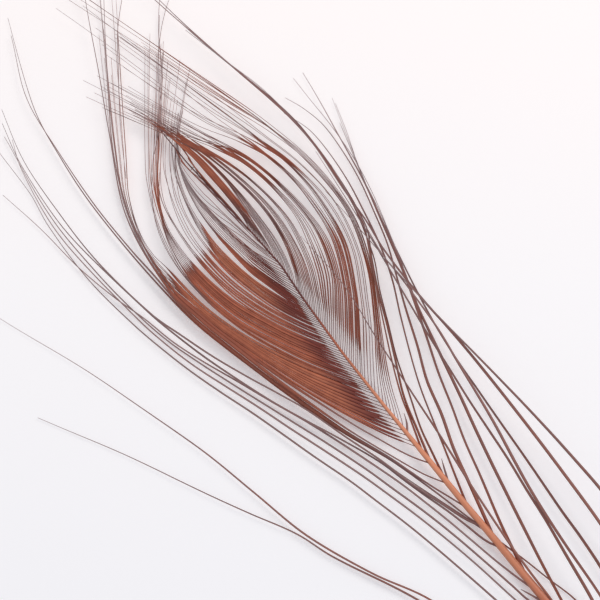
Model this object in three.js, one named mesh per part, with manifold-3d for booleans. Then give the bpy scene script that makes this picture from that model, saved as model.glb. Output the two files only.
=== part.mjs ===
// Stripped peacock quill: an eye feather whose barbs are bare of their fine fringe, lying on a surface.
// Millimetres, +Z up. X runs along the shaft, from the tip of the eye (-X) to the cut end (+X).
import * as THREE from "three";
import { mergeVertices } from "three/addons/utils/BufferGeometryUtils.js";
import Module from "manifold-3d";

// The feather is drawn from a point under its shaft. This is the middle of its box, which becomes the origin.
const MIDDLE = [27.3, -8.5];
// The plan below is the feather as it looks from above its front end, laid flat on the surface.
// A stretch that is raised lies this much further along X and Y for each millimetre of height.
const LEAN = [0.38, -0.27];

// Shaft: x, y in plan, height of its underside, half of its width
const SHAFT = [
  [118, 3.6, 0, 1.15],
  [92, 2.7, 0, 0.95],
  [70, 2.0, 0, 0.72],
  [58, 1.6, 0.15, 0.6],
  [50, 1.3, 0.4, 0.54],
  [44, 1.1, 0.6, 0.49],
  [37, 0.8, 0.85, 0.44],
  [30, 0.6, 1.05, 0.38],
  [20, 0.3, 1.3, 0.24],
  [10, 0.2, 1.5, 0.18],
  [0, 0.5, 1.65, 0.14],
  [-6, 0.9, 1.65, 0.13],
  [-12, 0.5, 1.6, 0.12],
  [-20, -0.2, 1.4, 0.11],
  [-27, -0.8, 1.2, 0.09],
  [-34, -1.0, 1.0, 0.07],
];
// Height of the shaft's middle above its underside, in half widths
const SHAFT_MIDDLE = 0.85;
// Section of the shaft, across and up, in half widths: flat underneath, rounded above
const SHAFT_SECTION = [
  [-0.62, 0],
  [0.62, 0],
  [1, 0.55],
  [0.92, 1.25],
  [0.45, 1.7],
  [-0.45, 1.7],
  [-0.92, 1.25],
  [-1, 0.55],
];

// Guide barbs of the two vanes: where the barb leaves the shaft, then eight points to its tip, in plan
const RIGHT_GUIDES = [
  [-24, [
    [-26, -0.3], [-28, -0.1], [-30, -0.1], [-32, -0.4], [-34, -0.9], [-36, -1.5], [-38.5, -2.7],
    [-41, -4.2],
  ]],
  [-16, [
    [-18, 0.6], [-20.5, 0.9], [-23.5, 0.9], [-27, 0.5], [-31, -0.2], [-34, -0.9], [-38, -2.4],
    [-43, -5],
  ]],
  [-9, [
    [-11, 1.4], [-15, 1.8], [-19, 1.8], [-23.5, 1.6], [-28, 0.9], [-32, -0.2], [-37, -2.2],
    [-45, -6.2],
  ]],
  [-4, [
    [-6.5, 1.9], [-11, 2.8], [-16, 3.1], [-21, 2.8], [-26, 1.9], [-30.5, 0.6], [-36, -1.6],
    [-47, -7.2],
  ]],
  [0, [
    [-3, 2], [-8, 3.6], [-14, 4.3], [-20, 3.9], [-25, 2.9], [-30, 1.1], [-36, -1.2], [-50, -8],
  ]],
  [5, [
    [2, 2.4], [-3, 4.8], [-10, 6.2], [-17, 5.8], [-23, 4.5], [-28, 2.3], [-33, 0], [-44, -4.5],
  ]],
  [7.6, [
    [4, 2.9], [-1, 6], [-8, 7.8], [-15, 7.6], [-21, 6.7], [-26, 4.8], [-31, 2.3], [-40, -2],
  ]],
  [10, [
    [6.5, 3], [1, 6.4], [-6, 8.8], [-14, 8.8], [-21, 7.5], [-26, 5.5], [-31, 2.7], [-40, -1.2],
  ]],
  [13, [
    [9, 3.2], [3, 7.2], [-4, 10.4], [-12, 11.1], [-20, 9.9], [-26, 7.9], [-33, 5], [-47, 1],
  ]],
  [15.5, [
    [11, 3.2], [5, 7.1], [-2, 10.9], [-10, 12.5], [-18, 11.9], [-25, 10], [-34, 7.1], [-52, 1.8],
  ]],
  [17.5, [
    [13, 3.2], [7, 7.1], [0, 11], [-8, 13.3], [-17, 12.8], [-25, 10.9], [-35, 7.9], [-58, 0.9],
  ]],
  [20.5, [
    [16, 2.7], [10, 6.4], [2.5, 10.8], [-6, 13.9], [-16, 14.3], [-25, 12.6], [-36, 8.9], [-65, -0.8],
  ]],
  [24, [
    [19.5, 2.7], [12, 6.7], [4, 11.1], [-5, 14.6], [-15, 15.4], [-25, 15.3], [-37, 13.2], [-60, 8.9],
  ]],
];
const LEFT_GUIDES = [
  [-24, [
    [-26, -1.2], [-28, -1.2], [-30, -0.9], [-31.5, -0.5], [-33, 0.3], [-34.5, 1.2], [-37, 3],
    [-40, 5.5],
  ]],
  [-16, [
    [-18, -1.2], [-20, -1.9], [-23, -2.4], [-26, -2.2], [-29, -1.2], [-32, 0.6], [-35, 3], [-40, 7.5],
  ]],
  [-8, [
    [-11, -0.7], [-14.5, -2], [-18, -2.8], [-22, -3], [-26, -2.5], [-30, -0.4], [-34, 2.6], [-41, 9],
  ]],
  [-3, [
    [-6, -0.6], [-10, -2.4], [-15, -3.6], [-20, -3.7], [-25, -2.8], [-29, -1.1], [-34, 2.4], [-43, 11],
  ]],
  [1, [
    [-3, -1.2], [-8, -3.6], [-14, -4.8], [-20, -4.7], [-25, -3.7], [-29, -1.9], [-34, 1.9], [-44, 11],
  ]],
  [5.5, [
    [2.5, -1.5], [-2.5, -3.7], [-9, -5.4], [-15, -5.9], [-20, -5.6], [-25, -4.4], [-31, -1], [-43, 9],
  ]],
  [9.5, [
    [5, -2.6], [0, -5.2], [-6, -7.3], [-13, -8.2], [-19, -7.8], [-25, -6], [-31, -2.6], [-44, 8],
  ]],
  [12, [
    [8, -2.5], [3, -5.3], [-4, -8.2], [-12, -9.6], [-19, -9.2], [-25, -7.4], [-31.5, -3.6], [-48, 8],
  ]],
  [15, [
    [11, -2.4], [5, -5.9], [-3, -9.4], [-12, -11.1], [-20, -10.4], [-27, -7.6], [-34, -3], [-52, 9],
  ]],
  [18.3, [
    [14, -2.6], [8, -6], [0, -9.6], [-9, -12.2], [-18, -12.8], [-26, -11], [-34, -7], [-55, 5],
  ]],
  [23, [
    [19, -2.4], [12, -6], [4, -9], [-6, -12.1], [-16, -13.6], [-26, -11.5], [-35, -7], [-60, 7],
  ]],
  [27, [
    [22, -2.6], [14, -6.3], [5, -9.6], [-5, -12.5], [-15, -14], [-26, -11.8], [-36, -7], [-63, 7.5],
  ]],
];
// Where each vane parts into locks, by the place on the shaft
const RIGHT_PARTINGS = [
  -26, -19, -12, -6, -1.5, 1.5, 4, 6.3, 8.8, 11.5, 13.4, 15, 16.6, 18.4, 20.3, 22.2, 24.2,
];
const LEFT_PARTINGS = [
  -26, -19, -12, -6, -1.5, 1.5, 4, 6.7, 8.4, 10.2, 12.1, 14, 15.9, 18.5, 21.5, 24.2, 27,
];
// Share of its space that a lock fills, its thickness and its narrowest width
const LOCK_SHARE = 0.78;
const LOCK_THICKNESS = 0.22;
const LOCK_MIN_WIDTH = 0.24;
// Neighbouring locks lie a step above and below each other once they are clear of the shaft
const LOCK_STEP = 0.22;
const CLEAR_OF_SHAFT = 0.25;
// Rise of each vane in its middle, and the heights of its tips by the place on the shaft: where the tips of
// the two vanes cross beyond the eye, the right ones lie on top
const RIGHT_VANE = { arch: 0.5, tipHeights: [[-26, 1.05], [-1.5, 1.95], [4, 1.9], [25, 1.2]] };
const LEFT_VANE = { arch: 0.35, tipHeights: [[-26, 0.8], [-1.5, 0.25], [27, 0.35]] };

// Long barbs on their own: rise in the middle, height of the tip, then the path in plan from where the barb
// leaves the shaft to its tip
const LONG_BARBS = [
  // Right side of the shaft, from the eye to the cut end
  [1, 1.5, [
    [28, 0.5], [23, 2.1], [20, 3.1], [15, 5.2], [10, 7.6], [4, 11], [-5, 14.6], [-15, 15.7],
    [-25, 15.6], [-38, 13.3], [-62, 8.9],
  ]],
  [0.7, 1, [
    [30, 0.6], [25, 1.9], [20, 3.5], [15, 5.6], [10, 7.9], [5, 10.2], [-4, 14.2], [-14, 15.8],
    [-26, 15.7], [-40, 12.9], [-58, 10.4],
  ]],
  [0.4, 0.5, [
    [33, 0.7], [29, 1.6], [25, 2.6], [22, 3.8], [15, 6], [10, 8.1], [5, 10.4], [0, 12.8], [-10, 15.3],
    [-22, 16], [-31, 14.8], [-46, 11.4],
  ]],
  [0.7, 0.4, [
    [38, 0.8], [35, 1.65], [30, 3.1], [25, 4.6], [20, 6.1], [10, 10.1], [3, 12.9], [-5, 15.1],
    [-14, 16.9], [-21, 16.8], [-26, 15.3],
  ]],
  [0.8, 0.3, [
    [43.5, 1], [36, 2.8], [30, 4.3], [25, 5.9], [15, 9.3], [8, 12.1], [0, 15], [-10, 17.9],
    [-21, 18.9], [-28, 16.9],
  ]],
  [0.8, 0.25, [
    [51.5, 1.3], [45, 2.5], [35, 4.9], [25, 7.7], [15, 11], [8, 13.4], [0, 15.6], [-10, 18.2],
    [-30, 21.6],
  ]],
  [0.8, 0.2, [
    [63, 1.7], [55, 3.3], [45, 5.1], [35, 7.1], [25, 9.5], [15, 11.9], [5, 14.5], [-12, 19],
    [-24, 22.6],
  ]],
  [2, 2, [
    [76, 2.1], [70, 4.4], [62, 6], [56, 6.7], [50, 7.5], [40, 8.7], [30, 9.8], [20, 10.8], [8, 12.3],
    [-8, 14.4], [-18, 15.3],
  ]],
  [2, 2.4, [
    [82, 2.3], [74, 5.6], [65, 7.2], [57, 7.7], [50, 8.1], [45, 8.5], [35, 10], [25, 11.7], [15, 13],
    [5, 13.9], [-15, 15.9],
  ]],
  [0.5, 0.2, [
    [84, 2.4], [76, 6.9], [65, 9.6], [55, 10.3], [45, 10.8], [35, 11.5], [25, 12.2], [15, 13.2],
    [-5, 17.2], [-20, 21],
  ]],
  [1.9, 2.2, [
    [90, 2.6], [80, 8.6], [65, 12.4], [50, 13.8], [40, 14.2], [30, 14.4], [15, 14.4], [5, 13.9],
    [-5, 13.2],
  ]],
  [2.4, 2.6, [
    [98, 2.8], [88, 8.5], [75, 13.5], [60, 16.5], [46, 16.8], [30, 15.8], [15, 14.4], [5, 13.8],
    [-12, 12.8],
  ]],
  // One that turns back across the vane, and one that crosses below the shaft
  [1.6, 2.6, [
    [60, 1.7], [55, 2.1], [48, 2.2], [40, 2.6], [33, 3.3], [25, 4.1], [18, 4.6], [8, 5.7], [-8, 5.7],
  ]],
  [-0.6, 0.2, [
    [68, 1.9], [62, 4.6], [57, 4.8], [52, 3.6], [48, 2.6], [44, 1.4], [40, 0], [36, -1.4], [30, -3.5],
  ]],
  // Left side of the shaft
  [0.5, 1, [
    [31, 0.5], [28, -0.9], [23, -3.2], [17, -5.7], [9, -8.8], [-3, -13.2], [-14, -14.7], [-22, -15.2],
    [-38, -15], [-48, -14], [-63, -9],
  ]],
  [0.9, 1.4, [
    [34, 0.7], [30, -1.6], [26, -3.2], [20, -5.6], [10, -9], [0, -11.8], [-12, -13.9], [-25, -12.2],
    [-37, -7.5], [-64, 4.5],
  ]],
  [0.5, 0.6, [
    [37, 0.8], [33, -1.2], [29.5, -2.5], [20, -6], [10, -9.5], [0, -12.3], [-12, -14.4], [-22, -13.6],
    [-35, -9], [-57, 0.6],
  ]],
  [0, 0.2, [
    [40.5, 0.9], [36, -0.8], [29, -2.9], [20, -6.4], [10, -9.8], [0, -12.7], [-14, -15], [-27, -15.6],
    [-36, -15.2], [-46, -14.2], [-60, -10.2],
  ]],
  [0.8, 0.8, [
    [42.5, 1], [39, -0.4], [33, -2.6], [26, -4.7], [20, -6.8], [10, -10.4], [0, -14.8], [-10, -18.1],
    [-20, -19.8], [-33, -20.2], [-50, -18],
  ]],
  [0.3, 0.6, [
    [45.5, 1.1], [40, -0.8], [33, -2.9], [26, -5], [20, -7.6], [10, -12], [0, -15.6], [-10, -18.3],
    [-20, -20], [-32, -21.2], [-44, -21],
  ]],
  [0.1, 0.2, [
    [51.5, 1.3], [46, -0.6], [38, -2.4], [30, -4.5], [20, -8.1], [10, -12.2], [0, -16.3], [-10, -19.4],
    [-15, -21], [-22, -22.6], [-30, -23.8],
  ]],
  [0.3, 0.2, [
    [58, 1.6], [53, -0.3], [45, -1.9], [35, -4.3], [26, -7], [15, -11.1], [5, -14.9], [-5, -18.4],
    [-15, -20.2], [-28, -21.5], [-46, -20.2],
  ]],
  [0.4, 0.2, [
    [64, 1.8], [58, -0.5], [50, -2], [40, -4.1], [30, -6.9], [20, -10.3], [10, -13.9], [0, -17.6],
    [-14, -20.7], [-28, -22.1], [-45, -21.4],
  ]],
  [0.3, 0.2, [
    [72, 2], [64, -0.9], [50, -3.9], [40, -6.1], [30, -8.7], [20, -11.9], [10, -15.1], [0, -18.6],
    [-14, -21.8], [-25, -22.8], [-46, -22.1],
  ]],
  // Two that have sprung away from the rest
  [0.3, 0.15, [
    [78, 2.2], [70, -1], [60, -5.5], [45, -11], [38, -15], [29, -19], [20, -21.3], [10, -24],
    [-6, -29.5], [-22, -36],
  ]],
  [0.2, 0.15, [
    [84, 2.4], [75, -1.8], [60, -6.8], [45, -12], [33, -18], [28, -20], [22, -23.5], [13, -28.5],
    [3, -34], [-6, -39.5],
  ]],
];
const LONG_BARB_WIDTH = 0.55;
const LONG_BARB_THICKNESS = 0.3;
// Where a barb starts inside the shaft, as a share of the shaft's half width
const ROOT_DEPTH = 0.35;
// Part of its length over which a barb narrows to its tip, and how narrow the tip is
const TAPER_START = 0.35;
const TIP_SHARE = 0.35;
const SHORTEST_EDGE = 0.02;
// Share of its length from which a lock lies square to its course
const SQUARE_FROM = 0.15;
const CURVE_TENSION = 0.5;
const STEPS_ALONG_LOCK = 10;
const STEPS_ALONG_BARB = 20;

const BARB_BROWN = 0x96503f;
const BARB_ROUGHNESS = 0.45;

const wasm = await Module();
wasm.setup();

// A closed solid through rings of points that all have the same count
function loft(rings) {
  const count = rings[0].length;
  const positions = rings.flat(2);
  const index = [];
  for (let ring = 0; ring + 1 < rings.length; ring++) {
    for (let i = 0; i < count; i++) {
      const here = ring * count + i;
      const beside = ring * count + ((i + 1) % count);
      index.push(here, beside, beside + count, here, beside + count, here + count);
    }
  }
  const last = (rings.length - 1) * count;
  for (let i = 1; i + 1 < count; i++) {
    index.push(0, i + 1, i, last, last + i, last + i + 1);
  }
  const faces = isInsideOut(positions, index) ? index.reverse() : index;
  const mesh = new wasm.Mesh({
    numProp: 3,
    vertProperties: new Float32Array(positions),
    triVerts: new Uint32Array(faces),
  });
  return new wasm.Manifold(mesh);
}

function isInsideOut(positions, index) {
  const corner = (i) => new THREE.Vector3().fromArray(positions, 3 * index[i]);
  let volume = 0;
  for (let i = 0; i < index.length; i += 3) {
    volume += corner(i).cross(corner(i + 1)).dot(corner(i + 2));
  }
  return volume < 0;
}

function between(a, b, share) {
  return a + (b - a) * share;
}

// The row of a table at a value of its first column, worked out between the rows on either side
function rowAt(table, value) {
  const rows = [...table].sort((a, b) => a[0] - b[0]);
  const inside = Math.min(Math.max(value, rows[0][0]), rows.at(-1)[0]);
  const next = Math.max(1, rows.findIndex((row) => row[0] >= inside));
  const share = (inside - rows[next - 1][0]) / (rows[next][0] - rows[next - 1][0]);
  return mixRows(rows[next - 1], rows[next], share);
}

function mixRows(a, b, share) {
  return a.map((item, i) =>
    Array.isArray(item) ? mixRows(item, b[i], share) : between(item, b[i], share),
  );
}

// Where a point of the plan lies once it is raised, measured from the middle of the feather
function raised(x, y, height) {
  return [x + LEAN[0] * height - MIDDLE[0], y + LEAN[1] * height - MIDDLE[1], height];
}

function shaftMiddleHeight(x) {
  const [, , underside, halfWidth] = rowAt(SHAFT, x);
  return underside + SHAFT_MIDDLE * halfWidth;
}

function shaftSolid() {
  const rings = SHAFT.map(([x, y, underside, halfWidth]) =>
    SHAFT_SECTION.map(([across, up]) => {
      const [middleX, middleY] = raised(x, y, underside + SHAFT_MIDDLE * halfWidth);
      return [middleX, middleY + across * halfWidth, underside + up * halfWidth];
    }),
  );
  return loft(rings);
}

// Height along a barb or lock: from the shaft to its tip, arched in between
function heightAlong(rootX, share, tipHeight, arch) {
  return between(shaftMiddleHeight(rootX), tipHeight, share) + arch * Math.sin(Math.PI * share);
}

function taper(share) {
  return share < TAPER_START ? 1 : between(1, TIP_SHARE, (share - TAPER_START) / (1 - TAPER_START));
}

// A barb's course in plan, from its root inside its own side of the shaft through the points of its guide
function planCurve(rootX, points) {
  const [, shaftY, , halfWidth] = rowAt(SHAFT, rootX);
  const side = Math.sign(points[0][1] - shaftY);
  const root = [rootX, shaftY + side * ROOT_DEPTH * halfWidth];
  return new THREE.CatmullRomCurve3(
    [root, ...points].map(([x, y]) => new THREE.Vector3(x, y, 0)),
    false,
    "catmullrom",
    CURVE_TENSION,
  );
}

// One lock of a vane: the strip between two partings, thinner in plan than its space. It leaves the shaft
// with its end along the shaft and soon lies square to its own course
function lockSolid(guides, vane, from, to, step) {
  const middle = (from + to) / 2;
  const [, tipHeight] = rowAt(vane.tipHeights, middle);
  const reach = (LOCK_SHARE * (to - from)) / 2;
  const edges = [middle - reach, middle + reach].map((rootX) =>
    planCurve(rootX, rowAt(guides, rootX)[1]),
  );
  const course = planCurve(middle, rowAt(guides, middle)[1]);
  const side = Math.sign(course.getPoint(1 / STEPS_ALONG_LOCK).y - course.getPoint(0).y);
  const rings = [];
  for (let i = 0; i <= STEPS_ALONG_LOCK; i++) {
    const share = i / STEPS_ALONG_LOCK;
    const lift = step * Math.min(1, share / CLEAR_OF_SHAFT);
    const height = heightAlong(middle, share, tipHeight, vane.arch) + lift;
    const [a, b] = edges.map((edge) => edge.getPoint(share));
    const along = course.getTangent(share);
    const square = new THREE.Vector3(side * along.y, -side * along.x, 0);
    const apart = b.clone().sub(a);
    const width = Math.max(Math.abs(apart.dot(square)), LOCK_MIN_WIDTH) * taper(share);
    const half = share < SQUARE_FROM ? apart.multiplyScalar(0.5) : square.multiplyScalar(width / 2);
    const centre = share < SQUARE_FROM ? a.add(b).multiplyScalar(0.5) : course.getPoint(share);
    rings.push(stripSection(centre, half, height, LOCK_THICKNESS * taper(share)));
  }
  return loft(rings);
}

// Four corners of a flat section
function stripSection(centre, half, height, thickness) {
  const [ax, ay] = raised(centre.x - half.x, centre.y - half.y, height);
  const [bx, by] = raised(centre.x + half.x, centre.y + half.y, height);
  const low = height - thickness / 2;
  const high = height + thickness / 2;
  return [[ax, ay, low], [bx, by, low], [bx, by, high], [ax, ay, high]];
}

// A long barb on its own, with a three-cornered section, flat below
function longBarbSolid([arch, tipHeight, path]) {
  const [[rootX], ...rest] = path;
  const curve = planCurve(rootX, rest);
  const rings = [];
  for (let i = 0; i <= STEPS_ALONG_BARB; i++) {
    const share = i / STEPS_ALONG_BARB;
    const height = heightAlong(rootX, share, tipHeight, arch);
    const centre = curve.getPoint(share);
    const along = curve.getTangent(share);
    const halfWidth = (LONG_BARB_WIDTH / 2) * taper(share);
    const thickness = LONG_BARB_THICKNESS * taper(share);
    const across = new THREE.Vector3(-along.y, along.x, 0).multiplyScalar(halfWidth);
    const low = Math.max(0, height - thickness / 2);
    const [x, y] = raised(centre.x, centre.y, height);
    rings.push([
      [x - across.x, y - across.y, low],
      [x + across.x, y + across.y, low],
      [x, y, low + thickness],
    ]);
  }
  return loft(rings);
}

function vaneLocks(guides, partings, vane) {
  return partings.slice(1).map((to, i) => {
    const step = ((i % 2 ? 1 : -1) * LOCK_STEP) / 2;
    return lockSolid(guides, vane, partings[i], to, step);
  });
}

// Where locks meet the shaft, the join leaves a few edges too short to matter: their ends are drawn together
function closeShortEdges(points, triangles) {
  const beside = (corner) => new Set(triangles.filter((corners) => corners.includes(corner)).flat());
  const canClose = ([a, b]) => [...beside(a)].filter((corner) => beside(b).has(corner)).length === 4;
  const isShort = ([a, b]) => points[a].distanceTo(points[b]) < SHORTEST_EDGE;
  const edgesOf = ([a, b, c]) => [[a, b], [b, c], [c, a]];
  for (;;) {
    const edge = triangles.flatMap(edgesOf).find((ends) => isShort(ends) && canClose(ends));
    if (!edge) {
      return triangles;
    }
    const [kept, dropped] = edge;
    triangles = triangles
      .map((corners) => corners.map((corner) => (corner === dropped ? kept : corner)))
      .filter((corners) => new Set(corners).size === 3);
  }
}

function toMesh(solid, name, material) {
  const { vertProperties, triVerts } = solid.getMesh();
  const points = [];
  for (let i = 0; i < vertProperties.length; i += 3) {
    points.push(new THREE.Vector3().fromArray(vertProperties, i));
  }
  const triangles = [];
  for (let i = 0; i < triVerts.length; i += 3) {
    triangles.push([...triVerts.slice(i, i + 3)]);
  }
  const geometry = new THREE.BufferGeometry().setFromPoints(points);
  geometry.setIndex(closeShortEdges(points, triangles).flat());
  const mesh = new THREE.Mesh(mergeVertices(geometry), material);
  mesh.name = name;
  return mesh;
}

const solids = [
  ...vaneLocks(RIGHT_GUIDES, RIGHT_PARTINGS, RIGHT_VANE),
  ...vaneLocks(LEFT_GUIDES, LEFT_PARTINGS, LEFT_VANE),
  ...LONG_BARBS.map(longBarbSolid),
];
const grown = solids.reduce((whole, solid) => whole.add(solid), shaftSolid());

const barbMaterial = new THREE.MeshStandardMaterial({
  color: BARB_BROWN,
  roughness: BARB_ROUGHNESS,
  metalness: 0,
});
const feather = new THREE.Group();
feather.add(toMesh(grown, "stripped_feather", barbMaterial));

export default feather;
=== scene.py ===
# Stripped peacock quill: its shaft and every barb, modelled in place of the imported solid.
# Tables are in millimetres.
import math
import random

import bpy
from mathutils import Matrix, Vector


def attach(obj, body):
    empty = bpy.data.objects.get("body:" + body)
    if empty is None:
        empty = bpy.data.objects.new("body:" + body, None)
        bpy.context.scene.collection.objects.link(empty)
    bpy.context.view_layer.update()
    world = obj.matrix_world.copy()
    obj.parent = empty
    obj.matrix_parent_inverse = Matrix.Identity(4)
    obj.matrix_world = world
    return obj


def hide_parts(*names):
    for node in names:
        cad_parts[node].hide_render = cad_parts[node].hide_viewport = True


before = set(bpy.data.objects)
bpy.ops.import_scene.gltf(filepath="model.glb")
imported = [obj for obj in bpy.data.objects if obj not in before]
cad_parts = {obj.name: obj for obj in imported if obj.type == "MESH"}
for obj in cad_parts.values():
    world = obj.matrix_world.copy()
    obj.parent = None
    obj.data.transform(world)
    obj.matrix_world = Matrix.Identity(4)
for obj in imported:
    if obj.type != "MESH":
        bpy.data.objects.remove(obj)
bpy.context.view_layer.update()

MM = 0.001

# The feather is drawn from a point under its shaft. This is the middle of its box, which is the origin.
MIDDLE = (27.3, -8.5)
# The plan is the feather as it looks from above its front end, laid flat on the surface.
# A stretch that is raised lies this much further along X and Y for each millimetre of height.
LEAN = (0.38, -0.27)

# Shaft: x, y in plan, height of its underside, half of its width
SHAFT = [
    [118, 3.6, 0, 1.15],
    [92, 2.7, 0, 0.95],
    [70, 2.0, 0, 0.72],
    [58, 1.6, 0.15, 0.6],
    [50, 1.3, 0.4, 0.54],
    [44, 1.1, 0.6, 0.49],
    [37, 0.8, 0.85, 0.44],
    [30, 0.6, 1.05, 0.38],
    [20, 0.3, 1.3, 0.24],
    [10, 0.2, 1.5, 0.18],
    [0, 0.5, 1.65, 0.14],
    [-6, 0.9, 1.65, 0.13],
    [-12, 0.5, 1.6, 0.12],
    [-20, -0.2, 1.4, 0.11],
    [-27, -0.8, 1.2, 0.09],
    [-34, -1.0, 1.0, 0.07],
]
# Height of the shaft's middle above its underside, in half widths
SHAFT_MIDDLE = 0.85
# Section of the shaft, across and up, in half widths: flat beneath, rounded above
SHAFT_SECTION = [
    (-0.62, 0), (0, 0), (0.62, 0), (0.92, 0.22), (1, 0.6), (0.97, 1.0), (0.82, 1.36), (0.5, 1.62),
    (0, 1.7), (-0.5, 1.62), (-0.82, 1.36), (-0.97, 1.0), (-1, 0.6), (-0.92, 0.22),
]
SHAFT_RINGS = 160

# Guide barbs: where the barb leaves the shaft, then eight points to its tip, in plan
RIGHT_GUIDES = [
    [-24, [[-26, -0.3], [-28, -0.1], [-30, -0.1], [-32, -0.4], [-34, -0.9], [-36, -1.5], [-38.5, -2.7],
         [-41, -4.2]]],
    [-16, [[-18, 0.6], [-20.5, 0.9], [-23.5, 0.9], [-27, 0.5], [-31, -0.2], [-34, -0.9], [-38, -2.4],
         [-43, -5]]],
    [-9, [[-11, 1.4], [-15, 1.8], [-19, 1.8], [-23.5, 1.6], [-28, 0.9], [-32, -0.2], [-37, -2.2],
         [-45, -6.2]]],
    [-4, [[-6.5, 1.9], [-11, 2.8], [-16, 3.1], [-21, 2.8], [-26, 1.9], [-30.5, 0.6], [-36, -1.6],
         [-47, -7.2]]],
    [0, [[-3, 2], [-8, 3.6], [-14, 4.3], [-20, 3.9], [-25, 2.9], [-30, 1.1], [-36, -1.2], [-50, -8]]],
    [5, [[2, 2.4], [-3, 4.8], [-10, 6.2], [-17, 5.8], [-23, 4.5], [-28, 2.3], [-33, 0], [-44, -4.5]]],
    [7.6, [[4, 2.9], [-1, 6], [-8, 7.8], [-15, 7.6], [-21, 6.7], [-26, 4.8], [-31, 2.3], [-40, -2]]],
    [10, [[6.5, 3], [1, 6.4], [-6, 8.8], [-14, 8.8], [-21, 7.5], [-26, 5.5], [-31, 2.7], [-40, -1.2]]],
    [13, [[9, 3.2], [3, 7.2], [-4, 10.4], [-12, 11.1], [-20, 9.9], [-26, 7.9], [-33, 5], [-47, 1]]],
    [15.5, [[11, 3.2], [5, 7.1], [-2, 10.9], [-10, 12.5], [-18, 11.9], [-25, 10], [-34, 7.1], [-52, 1.8]]],
    [17.5, [[13, 3.2], [7, 7.1], [0, 11], [-8, 13.3], [-17, 12.8], [-25, 10.9], [-35, 7.9], [-58, 0.9]]],
    [20.5, [[16, 2.7], [10, 6.4], [2.5, 10.8], [-6, 13.9], [-16, 14.3], [-25, 12.6], [-36, 8.9],
         [-65, -0.8]]],
    [24, [[19.5, 2.7], [12, 6.7], [4, 11.1], [-5, 14.6], [-15, 15.4], [-25, 15.3], [-37, 13.2],
         [-60, 8.9]]],
]
LEFT_GUIDES = [
    [-24, [[-26, -1.2], [-28, -1.2], [-30, -0.9], [-31.5, -0.5], [-33, 0.3], [-34.5, 1.2], [-37, 3],
         [-40, 5.5]]],
    [-16, [[-18, -1.2], [-20, -1.9], [-23, -2.4], [-26, -2.2], [-29, -1.2], [-32, 0.6], [-35, 3],
         [-40, 7.5]]],
    [-8, [[-11, -0.7], [-14.5, -2], [-18, -2.8], [-22, -3], [-26, -2.5], [-30, -0.4], [-34, 2.6],
         [-41, 9]]],
    [-3, [[-6, -0.6], [-10, -2.4], [-15, -3.6], [-20, -3.7], [-25, -2.8], [-29, -1.1], [-34, 2.4],
         [-43, 11]]],
    [1, [[-3, -1.2], [-8, -3.6], [-14, -4.8], [-20, -4.7], [-25, -3.7], [-29, -1.9], [-34, 1.9],
         [-44, 11]]],
    [5.5, [[2.5, -1.5], [-2.5, -3.7], [-9, -5.4], [-15, -5.9], [-20, -5.6], [-25, -4.4], [-31, -1],
         [-43, 9]]],
    [9.5, [[5, -2.6], [0, -5.2], [-6, -7.3], [-13, -8.2], [-19, -7.8], [-25, -6], [-31, -2.6], [-44, 8]]],
    [12, [[8, -2.5], [3, -5.3], [-4, -8.2], [-12, -9.6], [-19, -9.2], [-25, -7.4], [-31.5, -3.6],
         [-48, 8]]],
    [15, [[11, -2.4], [5, -5.9], [-3, -9.4], [-12, -11.1], [-20, -10.4], [-27, -7.6], [-34, -3], [-52, 9]]],
    [18.3, [[14, -2.6], [8, -6], [0, -9.6], [-9, -12.2], [-18, -12.8], [-26, -11], [-34, -7], [-55, 5]]],
    [23, [[19, -2.4], [12, -6], [4, -9], [-6, -12.1], [-16, -13.6], [-26, -11.5], [-35, -7], [-60, 7]]],
    [27, [[22, -2.6], [14, -6.3], [5, -9.6], [-5, -12.5], [-15, -14], [-26, -11.8], [-36, -7], [-63, 7.5]]],
]

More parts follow.
